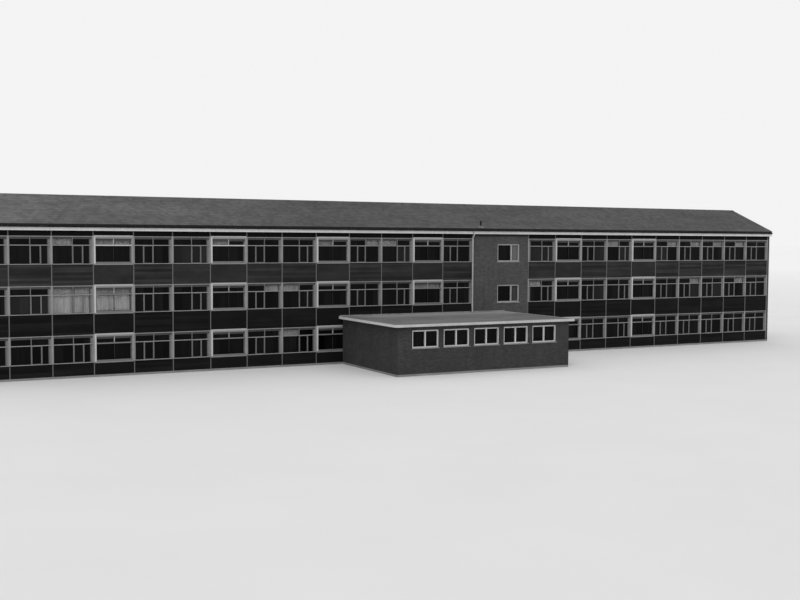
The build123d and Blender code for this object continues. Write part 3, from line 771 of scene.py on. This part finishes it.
def plain_bars(parts, w):
    """Jambs, a middle bar, a bar a quarter of a bay from it, and a casement between the bars."""
    for x0, x1 in ((w.left, w.left + JAMB), (w.right - JAMB, w.right)):
        parts["column_infills"].box((x0, BAR_FACE, w.bottom), (x1, BACK, w.top))
    quarter = w.middle + (BAY / 4 if w.bay in MIRRORED_BAYS else -BAY / 4)
    for x, top in ((w.middle, w.top), (quarter, w.below_transom)):
        parts["window_bars"].box((x - BAR / 2, BAR_FACE, w.bottom), (x + BAR / 2, BACK, top))
    first, last = sorted((w.middle, quarter))
    x0, x1 = first + BAR / 2, last - BAR / 2
    sash(parts["casements"], x0, x1, w.bottom, w.below_transom, CASEMENT)
    return [first, last]


def glaze(shape, w, uprights, curtain, pale):
    """The panes between the uprights below the transom, and the two above it."""
    edges = [w.free_left, *uprights, w.free_right]
    for x0, x1 in zip(edges, edges[1:]):
        half = "left" if x1 <= w.middle else "right"
        shade = PALE if pale in ("whole", half) else DARK
        pane_box(shape, x0, x1, w.bottom, w.transom, CLEAR if curtain == "whole" else shade)
    for half, x0, x1 in (("left", w.free_left, w.middle), ("right", w.middle, w.free_right)):
        shown = curtain in ("whole", "whole top", half + " top")
        pane_box(shape, x0, x1, w.transom, w.top, VEILED if shown else DARK)


def head_vent(shape, w):
    """A dark strip under the head, a little behind the bars."""
    y = (FACE if w.boxed else BAR_FACE) + STRIP_RECESS
    shape.box((w.left + JAMB, y, w.top - HEAD_STRIP), (w.right - JAMB, BACK, w.top))


def window_sill(shape, w):
    """A sloping sill in front of the sill rail."""
    nose = FACE - SILL_NOSE
    profile = ((FACE, SILL_BACK), (nose, SILL_LIP), (nose, SILL_BOTTOM), (FACE, SILL_BOTTOM))
    shape.prism([(y, w.sill + z) for y, z in profile], *light_span(w.bay))


def box_trims(hoods, aprons, w):
    """Boards that cover the rails above and below a box window, and lap the panels there."""
    left, right = light_span(w.bay)
    front = FACE - BOARD_SKIN
    low, high = w.sill - RAIL / 2, w.sill + RAIL / 2
    aprons.box((left, front, low - APRON), (right, FACE, high))
    aprons.box((left, FACE, low - APRON), (right, PANEL_FACE, low))
    low, high = low + WINDOW_HEIGHT, high + WINDOW_HEIGHT
    hoods.box((left, front, low), (right, FACE, high + HOOD))
    hoods.box((left, FACE, high), (right, PANEL_FACE, high + HOOD))


def window_wall(curtains, pale_lights):
    """The shapes of all windows on one long front, and its panes storey by storey."""
    parts = {name: Shape() for name, finish, slot in WINDOW_PIECES}
    panes = [Shape() for sill in SILLS]
    for storey, sill in enumerate(SILLS):
        for bay in WINDOW_BAYS:
            w = Window(bay, sill)
            column_infills(parts["column_infills"], w)
            uprights = box_bars(parts, w) if w.boxed else plain_bars(parts, w)
            curtain, pale = curtains.get((bay, storey)), pale_lights.get((bay, storey))
            glaze(panes[storey], w, uprights, curtain, pale)
            head_vent(parts["head_vents"], w)
            if w.boxed:
                box_trims(parts["box_hoods"], parts["box_aprons"], w)
            else:
                window_sill(parts["window_sills"], w)
    return parts, panes


front_parts, front_panes = window_wall(CURTAINS, PALE_LIGHTS)
rear_parts, rear_panes = window_wall({}, {})
for name, finish, slot in WINDOW_PIECES:
    front_parts[name].make("front_" + name, [finish], slot)
    rear_parts[name].mirrored().make("rear_" + name, [finish], slot)
for name, panes, others in zip(FLOOR_NAMES, front_panes, rear_panes):
    panes.join(others.mirrored())
    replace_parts(panes.make(name + "_panes", GLAZING, "window_glass"), name + "_glass")


# Curtains on rails behind the glass
CURTAIN_Y = COLUMN_FACE + 0.014
CURTAIN_RAIL = 0.010
CURTAIN_GAP = 0.003  # between a curtain and the sides of its light
CURTAIN_FOOT = 0.010
FOLD_DEPTH = 0.005
FOLD_LENGTH = 0.075
FOLD_STEP = 0.006
FOLD_DRIFT = (0.8, 1.3)
ROW_STEP = 0.050
HEM_GROWTH = 0.3  # share of the fold's depth that it gains from head to hem
SWAY, SWAY_ALONG, SWAY_DOWN = 0.5, 5, 3


def curtain_rails(shape):
    for bay, storey in CURTAINS:
        (left, right), z = clear_span(bay), SILLS[storey] + WINDOW_HEIGHT
        front, back = CURTAIN_Y - CURTAIN_RAIL / 2, CURTAIN_Y + CURTAIN_RAIL / 2
        shape.box((left, front, z), (right, back, z + CURTAIN_RAIL))


def hang_curtain(name, x0, x1, z0, z1):
    """A sheet with upright folds that open out a little towards its hem."""
    columns = max(2, round((x1 - x0) / FOLD_STEP))
    rows = max(2, round((z1 - z0) / ROW_STEP))
    phase = random.uniform(0, 2 * pi)
    drift = random.uniform(*FOLD_DRIFT)
    points = []
    for j in range(rows + 1):
        z = z1 + (z0 - z1) * j / rows
        depth = FOLD_DEPTH * (1 - HEM_GROWTH * (1 - j / rows))
        for i in range(columns + 1):
            x = x0 + (x1 - x0) * i / columns
            sway = SWAY * sin(SWAY_ALONG * x + SWAY_DOWN * j / rows)
            wave = sin(2 * pi * x / FOLD_LENGTH * drift + phase + sway)
            points.append((x, CURTAIN_Y + depth * wave, z))
    wide = columns + 1
    starts = [j * wide + i for j in range(rows) for i in range(columns)]
    faces = [(k, k + wide, k + wide + 1, k + 1) for k in starts]
    shape = Shape()
    shape.add(points, faces)
    piece = shape.make(name, [cotton])
    piece.data.shade_smooth()


rail_piece = shaped(curtain_rails).make("curtain_rails", [steel])
for (bay, storey), light in CURTAINS.items():
    left, right = clear_span(bay)
    middle = line_x(bay + 0.5)
    head = SILLS[storey] + WINDOW_HEIGHT
    foot = SILLS[storey] + CURTAIN_FOOT if light == "whole" else head - TRANSOM_DROP
    x0 = (middle if light.startswith("right") else left) + CURTAIN_GAP
    x1 = (middle if light.startswith("left") else right) - CURTAIN_GAP
    hang_curtain(f"curtain_{bay}_{storey}", x0, x1, foot, head)


# Weatherboards on the panels, except below the box windows, where the panels are plain
BOARD_LIP = 0.011
BOARD_TOP = 0.002
BOARD_GAP = 0.001
BOARD_PLAY = 0.001
board_rows = [(FLOOR_TOP, SILLS[0] - RAIL / 2)]
board_rows += [(a + WINDOW_HEIGHT + RAIL / 2, b - RAIL / 2) for a, b in zip(SILLS, SILLS[1:])]


def weatherboards(shape):
    """Overlapping boards, each a little out of line."""
    for bay in WINDOW_BAYS:
        if bay in BOX_BAYS:
            continue
        for bottom, top in board_rows:
            count = round((top - bottom) / BOARD)
            height = (top - bottom) / count
            for i in range(count):
                z = bottom + i * height
                lip = PANEL_FACE - BOARD_LIP + random.uniform(0, BOARD_PLAY)
                end = z + height - BOARD_GAP
                outline = [(PANEL_FACE, end), (PANEL_FACE - BOARD_TOP, end), (lip, z), (PANEL_FACE, z)]
                shape.prism(outline, *light_span(bay))


make_twice("weatherboards", weatherboards, boards, "panel")


# Roof tiles: flat interlocking tiles in broken bond, each a little out of line
TILE_BUTT = 0.0065
TILE_HEAD = 0.0008
TILE_JOINT = 0.0015
TILE_PLAY = 0.0008
TILE_ROCK = 0.0006


def tiles_on_slope(shape):
    """The tiles of the front slope, from the eaves to the ridge."""
    faces = [(0, 1, 2, 3), (3, 2, 4, 5), (0, 3, 5, 6), (1, 7, 4, 2)]
    for row in range(TILE_ROWS):
        low_y, high_y = (TILE_EDGE * (1 - i / TILE_ROWS) for i in (row, row + 1))
        low_z, high_z = roof_z(low_y), roof_z(high_y)
        shift = (row % 2) / 2
        for column in range(TILE_COLUMNS + row % 2):
            start = (column - shift) * TILE_WIDTH - ROOF_END
            x0 = max(-ROOF_END, start) + TILE_JOINT / 2
            x1 = min(ROOF_END, start + TILE_WIDTH) - TILE_JOINT / 2
            lift = TILE_BUTT + random.uniform(-TILE_PLAY, TILE_PLAY)
            rock = random.uniform(-TILE_ROCK, TILE_ROCK)
            shape.add([
                (x0, -low_y, low_z), (x1, -low_y, low_z),
                (x1, -low_y, low_z + lift + rock), (x0, -low_y, low_z + lift - rock),
                (x1, -high_y, high_z + TILE_HEAD), (x0, -high_y, high_z + TILE_HEAD),
                (x0, -high_y, high_z), (x1, -high_y, high_z),
            ], faces)


make_twice("roof_tiles", tiles_on_slope, tile, "roof_tile")


# Ridge tiles: segmental, bedded in mortar
RIDGE_HALF, RIDGE_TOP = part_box("ridge_capping")[1].yz
RIDGE_LIFT = 0.005  # of the outer arc's ends over the slabs
RIDGE_EDGE = roof_z(RIDGE_HALF) + RIDGE_LIFT
RIDGE_TILES = 160
RIDGE_STEPS = 10
RIDGE_SKIN = 0.009
RIDGE_JOINT = 0.002
RIDGE_PLAY = 0.0012
BED_INSET = 0.006  # of the mortar behind the ridge tiles' edges
BED_EDGE = 0.008
BED_GAP = 0.003


def ridge_arc(lift, skin):
    """Points of a segmental arc across the ridge, from the front edge to the rear edge."""
    rise = RIDGE_TOP - RIDGE_EDGE
    radius = (RIDGE_HALF ** 2 + rise ** 2) / (2 * rise)
    spread = atan2(RIDGE_HALF, radius - rise)
    centre = RIDGE_TOP - radius + lift
    inner = radius - skin
    angles = [spread * (2 * i / RIDGE_STEPS - 1) for i in range(RIDGE_STEPS + 1)]
    return [(inner * sin(a), centre + inner * cos(a)) for a in angles]


def ridge_tiles(shape):
    """Segmental tiles end to end, each a little up or down."""
    length = 2 * ROOF_END / RIDGE_TILES
    for i in range(RIDGE_TILES):
        start = -ROOF_END + i * length
        lift = random.uniform(-RIDGE_PLAY, 0.0)
        outline = ridge_arc(lift, 0) + ridge_arc(lift, RIDGE_SKIN)[::-1]
        shape.prism(outline, start + RIDGE_JOINT / 2, start + length - RIDGE_JOINT / 2)


def ridge_bedding(shape):
    """Mortar that fills the ridge tiles."""
    y = RIDGE_HALF - BED_INSET
    foot, edge = roof_z(y), roof_z(y) + BED_EDGE
    top = RIDGE_TOP - RIDGE_SKIN - BED_GAP
    outline = [(-y, foot), (-y, edge), (0, top), (y, edge), (y, foot), (0, RIDGE_Z)]
    shape.prism(outline, -ROOF_END, ROOF_END)


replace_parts(shaped(ridge_tiles).make("ridge_tiles", [tile], "roof_tile"), "ridge_capping")
shaped(ridge_bedding).make("ridge_bedding", [mortar])


# Gutters: brackets and joint collars
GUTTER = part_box("front_gutter")
BRACKETS = 80
BRACKET_WIDTH = 0.012
BRACKET_SKIN = 0.003
GUTTER_LENGTHS = 20
COLLAR_WIDTH = 0.030
COLLAR_SKIN = BRACKET_SKIN / 2


def strap(shape, x, width, skin):
    """A band under and in front of the gutter."""
    x0, x1 = x - width / 2, x + width / 2
    low, high = GUTTER
    shape.box((x0, low.y - skin, low.z - skin), (x1, high.y, low.z))
    shape.box((x0, low.y - skin, low.z), (x1, low.y, high.z + skin))


def gutter_fixings(shape):
    """Brackets along the gutter, and a collar where two lengths of it meet."""
    for i in range(BRACKETS):
        strap(shape, -ROOF_END + (i + 0.5) * 2 * ROOF_END / BRACKETS, BRACKET_WIDTH, BRACKET_SKIN)
    for i in range(1, GUTTER_LENGTHS):
        strap(shape, -ROOF_END + i * 2 * ROOF_END / GUTTER_LENGTHS, COLLAR_WIDTH, COLLAR_SKIN)


make_twice("gutter_brackets", gutter_fixings, iron, "dark_metal")


# Downpipes: socket collars and holderbats
PIPE_RADIUS = 0.029
PIPE_GAP = 0.010
PIPE_X = line_x(LEFT_BAYS)
PIPE_Y = FACE - PIPE_GAP - PIPE_RADIUS
FIRST_SOCKET = 0.30  # above the pipe's foot
SOCKET_SPACING = 0.82
LAST_SOCKET = SILLS[2] + 0.55  # none higher
SOCKET = 0.035
SOCKET_SKIN = 0.005
RIM = 0.008
CLIP = (0.045, 0.006)  # half width and half depth
CLIP_DROPS = (0.020, 0.004)  # its foot and top below the socket
STEM = 0.008
STEM_DROPS = (0.018, 0.006)


def pipe_collars(shape, foot):
    """A socket with a rim, and a clip below it with a stem to the wall, again and again."""
    x, y = PIPE_X, PIPE_Y
    wide, deep = CLIP
    z = foot + FIRST_SOCKET
    while z < LAST_SOCKET:
        rim = z + SOCKET
        shape.ring((x, y), PIPE_RADIUS + SOCKET_SKIN, z, rim)
        shape.ring((x, y), PIPE_RADIUS + RIM, rim, rim + RIM)
        z0, z1 = (z - drop for drop in CLIP_DROPS)
        shape.box((x - wide, y - deep, z0), (x + wide, y + deep, z1))
        z0, z1 = (z - drop for drop in STEM_DROPS)
        shape.box((x - STEM, y, z0), (x + STEM, FACE, z1))
        z += SOCKET_SPACING


shaped(pipe_collars, BLOCK_ROOF[1].z).make("front_pipe_collars", [pipe_white], "white_paint")
shaped(pipe_collars, 0).mirrored().make("rear_pipe_collars", [pipe_white], "white_paint")


# Roof vent: lead dressed over the tiles and round the pipe
SLATE_WIDTH = 0.20
SLATE_LENGTH = 0.22
SLATE_SKIN = 0.004
SLATE_SHIFT = 0.010  # of its middle, up the roof
SLATE_LIFT = 0.004  # over the tiles
SLEEVE_RINGS = 6
SLEEVE_FOOT = 0.020  # below the slate's middle
SLEEVE_RADIUS, SLEEVE_TAPER = 0.050, 0.0025
SLEEVE_STEP, SLEEVE_RING = 0.012, 0.014


def vent_flashing(shape):
    """A lead slate in the roof's pitch, with a tapering sleeve of six rings."""
    low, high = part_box("roof_vent")
    x, vent_y = (low.x + high.x) / 2, (low.y + high.y) / 2
    y = vent_y + SLATE_SHIFT
    z = roof_z(y) + TILE_BUTT + SLATE_LIFT
    corner = Vector((SLATE_WIDTH, SLATE_LENGTH, SLATE_SKIN)) / 2
    middle = Vector((x, y, z))
    shape.box(middle - corner, middle + corner, turn=Matrix.Rotation(PITCH, 3, "X"))
    for k in range(SLEEVE_RINGS):
        base = z - SLEEVE_FOOT + SLEEVE_STEP * k
        shape.ring((x, vent_y), SLEEVE_RADIUS - SLEEVE_TAPER * k, base, base + SLEEVE_RING)


shaped(vent_flashing).make("vent_flashing", [lead])


# Windows in the brick walls: sills and panes
OBSCURED, DIM = 1, 2  # material slots of the tower's panes
tower_low, tower_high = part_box("tower_window_frames")
TOWER_BAR = 0.690  # from the window's left side to its upright bar
TOWER_WINDOW_HEIGHT = 0.720
RIGHT_PANES = {1: DIM, 2: OBSCURED}  # by storey, at the front
TOWER_PANE = (0.002, 0.006)  # faces of the new pane, from the CAD pane's front
SILL_OVERHANG = 0.030
SILL_OUT = 0.022
SILL_HEIGHT = 0.030
SILL_IN = 0.030
BLOCK_WINDOW = 1.060
BLOCK_WINDOWS = 5


def brick_sill(shape, x0, x1, face, z):
    """A concrete sill whose ends run past the window's sides."""
    x0, x1 = x0 - SILL_OVERHANG, x1 + SILL_OVERHANG
    shape.box((x0, face - SILL_OUT, z - SILL_HEIGHT), (x1, face + SILL_IN, z))


def tower_sills(shape):
    for storey in RIGHT_PANES:
        brick_sill(shape, tower_low.x, tower_high.x, FACE, SILLS[storey])
    shape.join(shape.mirrored())


def tower_panes(shape):
    """Two panes a window against the back of its frame; the front's right ones are obscured or dim."""
    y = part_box("tower_window_glass")[0].y
    near, far = (y + offset for offset in TOWER_PANE)
    bar = tower_low.x + TOWER_BAR
    for storey, slot in RIGHT_PANES.items():
        z0 = SILLS[storey]
        z1 = z0 + TOWER_WINDOW_HEIGHT
        shape.box((tower_low.x, near, z0), (bar, far, z1))
        shape.box((bar, near, z0), (tower_high.x, far, z1), slot)
    shape.join(shape.mirrored(), slot=DARK)


def block_sills(shape):
    low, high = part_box("block_window_frames")
    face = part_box("block_front_wall")[0].y
    pitch = (high.x - low.x - BLOCK_WINDOW) / (BLOCK_WINDOWS - 1)
    for i in range(BLOCK_WINDOWS):
        x0 = low.x + i * pitch
        brick_sill(shape, x0, x0 + BLOCK_WINDOW, face, low.z)


shaped(tower_sills).make("tower_window_sills", [sill_concrete], "concrete")
TOWER_GLASS = (dark_glass, obscured_glass, dim_glass)
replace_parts(shaped(tower_panes).make("tower_panes", TOWER_GLASS, "window_glass"), "tower_window_glass")
shaped(block_sills).make("block_window_sills", [sill_concrete], "concrete")


# Flat roof: a lead apron against the window wall
FLASHING_INSET = 0.020  # from the roof's ends
FLASHING_SKIN = (0.0030, 0.0005)  # front and back, before the mullions' face
FLASHING_FOOT = 0.001
FLASHING_HEIGHT = 0.050


def roof_apron(shape):
    low, high = BLOCK_ROOF
    front, back = (FACE - offset for offset in FLASHING_SKIN)
    shape.box((low.x + FLASHING_INSET, front, high.z - FLASHING_FOOT),
              (high.x - FLASHING_INSET, back, high.z + FLASHING_HEIGHT))


shaped(roof_apron).make("block_roof_apron", [pale_lead])


# Rear doors: rails, kicking plates and pull handles
DOOR_GAP = 0.003
DOOR_STILE = 0.050
DOOR_RAIL = 0.070
BOTTOM_RAIL = 0.112
LOCK_RAIL = 0.420  # height of its underside
DOOR_FOOT = 0.002
DOOR_SKIN = 0.006
PLATE_INSET, PLATE_TOP, PLATE_SKIN = 0.010, 0.100, 0.002
LUGS = (0.460, 0.600)  # heights of their undersides
LUG_HALF, LUG_OUT, LUG_HEIGHT = 0.004, 0.022, 0.008
GRIP_HALF, GRIP_IN, GRIP_OUT = 0.005, 0.016, 0.024
GRIP_ENDS = (0.440, 0.630)


def door_frame(shape, x0, x1, z0, z1, face):
    """Raised stiles and rails on one leaf."""
    front = face + DOOR_SKIN
    inner0, inner1 = x0 + DOOR_STILE, x1 - DOOR_STILE
    foot = z0 + DOOR_FOOT
    for low, high in (
        ((x0, face, foot), (inner0, front, z1)),
        ((inner1, face, foot), (x1, front, z1)),
        ((inner0, face, foot), (inner1, front, z0 + BOTTOM_RAIL)),
        ((inner0, face, z0 + LOCK_RAIL), (inner1, front, z0 + LOCK_RAIL + DOOR_RAIL)),
        ((inner0, face, z1 - DOOR_RAIL), (inner1, front, z1)),
    ):
        shape.box(low, high)


def door_metal(shape, x0, x1, hand, z0, front):
    """A kicking plate, and a pull handle on two lugs."""
    shape.box((x0 + PLATE_INSET, front, z0 + PLATE_INSET),
              (x1 - PLATE_INSET, front + PLATE_SKIN, z0 + PLATE_TOP))
    for z in (z0 + lug for lug in LUGS):
        shape.box((hand - LUG_HALF, front, z), (hand + LUG_HALF, front + LUG_OUT, z + LUG_HEIGHT))
    low, high = (z0 + end for end in GRIP_ENDS)
    shape.box((hand - GRIP_HALF, front + GRIP_IN, low), (hand + GRIP_HALF, front + GRIP_OUT, high))


def rear_doors():
    """The rails and the metal of both leaves."""
    rails, metalwork = Shape(), Shape()
    low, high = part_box("entrance_doors")
    middle = (low.x + high.x) / 2
    left_edge, right_edge = middle - DOOR_GAP / 2, middle + DOOR_GAP / 2
    for x0, x1, hand in (
        (low.x, left_edge, left_edge - DOOR_STILE / 2),
        (right_edge, high.x, right_edge + DOOR_STILE / 2),
    ):
        door_frame(rails, x0, x1, low.z, high.z, high.y)
        door_metal(metalwork, x0, x1, hand, low.z, high.y + DOOR_SKIN)
    return rails, metalwork


door_rails, door_furniture = rear_doors()
door_rails.make("door_rails", [door], "door_paint")
door_furniture.make("door_furniture", [steel])


# Floor, background and light
FLOOR_REACH = 900
FLOOR_DROP = 0.001
FLOOR_FADE = (25, 160)  # from the middle, where the floor turns paler
AMBIENT_GREY, BACKDROP_GREY = 0.75, 0.90
SUN_STRENGTH = 0.8
SUN_SPREAD = radians(40)
SUN_AIM = (0.45, 0.8, -0.95)


def floor_paint():
    """A pale floor that fades into the background far away."""
    made, shader, place = new_material("floor", 0.9, 0.1)
    shade = remap(noise(place, 0.3, 3), 0.3, 0.7, 0.79, 0.81)
    away = node(place, "ShaderNodeVectorMath", {0: place}, operation="LENGTH").outputs["Value"]
    away = remap(away, *FLOOR_FADE)
    coat(shader, mix(away, tint(shade), 0.95))
    return made


def lay_floor():
    shape = Shape()
    corners = ((-1, -1), (1, -1), (1, 1), (-1, 1))
    points = [(x * FLOOR_REACH, y * FLOOR_REACH, -FLOOR_DROP) for x, y in corners]
    shape.add(points, [(0, 1, 2, 3)])
    shape.put("floor", [floor_paint()])


def light_sky():
    """A soft sky, whose brighter grey only the camera, reflections and glass see."""
    world = bpy.data.worlds.new("sky")
    bpy.context.scene.world = world
    world.use_nodes = True
    tree = world.node_tree
    tree.nodes.clear()
    path = node(tree, "ShaderNodeLightPath").outputs
    seen = math("MAXIMUM", path["Is Camera Ray"], path["Is Glossy Ray"])
    seen = math("MAXIMUM", seen, path["Is Transmission Ray"])
    ambient, backdrop = (node(tree, "ShaderNodeBackground", {"Color": grey(value)}).outputs[0]
                         for value in (AMBIENT_GREY, BACKDROP_GREY))
    blend = node(tree, "ShaderNodeMixShader", {0: seen, 1: ambient, 2: backdrop}).outputs[0]
    node(tree, "ShaderNodeOutputWorld", {"Surface": blend})


def hang_sun():
    """A weak and very soft sun from the front left, as under a bright overcast."""
    data = bpy.data.lights.new("sun", "SUN")
    data.energy = SUN_STRENGTH
    data.angle = SUN_SPREAD
    sun = placed("sun", data)
    sun.rotation_euler = Vector(SUN_AIM).to_track_quat("-Z", "Y").to_euler()


lay_floor()
light_sky()
hang_sun()


# Camera, fitted to the photograph's mullion, sill, head and fascia lines
IMAGE_WIDTH = 800
FOCAL_PIXELS = 1076.47
SENSOR_WIDTH = 36
CAMERA_PLACE = (-21.565, -39.682, 4.713)
CAMERA_YAW = radians(27.809)  # right of +Y
CAMERA_PITCH = radians(3.161)  # below the horizon
CAMERA_ROLL = radians(0.278)
CLIP_RANGE = (0.1, 3000)


def set_camera():
    data = bpy.data.cameras.new("camera")
    data.sensor_width = SENSOR_WIDTH
    data.lens = FOCAL_PIXELS / IMAGE_WIDTH * SENSOR_WIDTH
    data.clip_start, data.clip_end = CLIP_RANGE
    camera = placed("camera", data)
    yaw = Matrix.Rotation(-CAMERA_YAW, 4, "Z")
    pitch = Matrix.Rotation(pi / 2 - CAMERA_PITCH, 4, "X")
    roll = Matrix.Rotation(CAMERA_ROLL, 4, "Z")
    camera.matrix_world = Matrix.Translation(CAMERA_PLACE) @ yaw @ pitch @ roll
    bpy.context.scene.camera = camera


set_camera()
bpy.context.scene.view_settings.view_transform = "Standard"
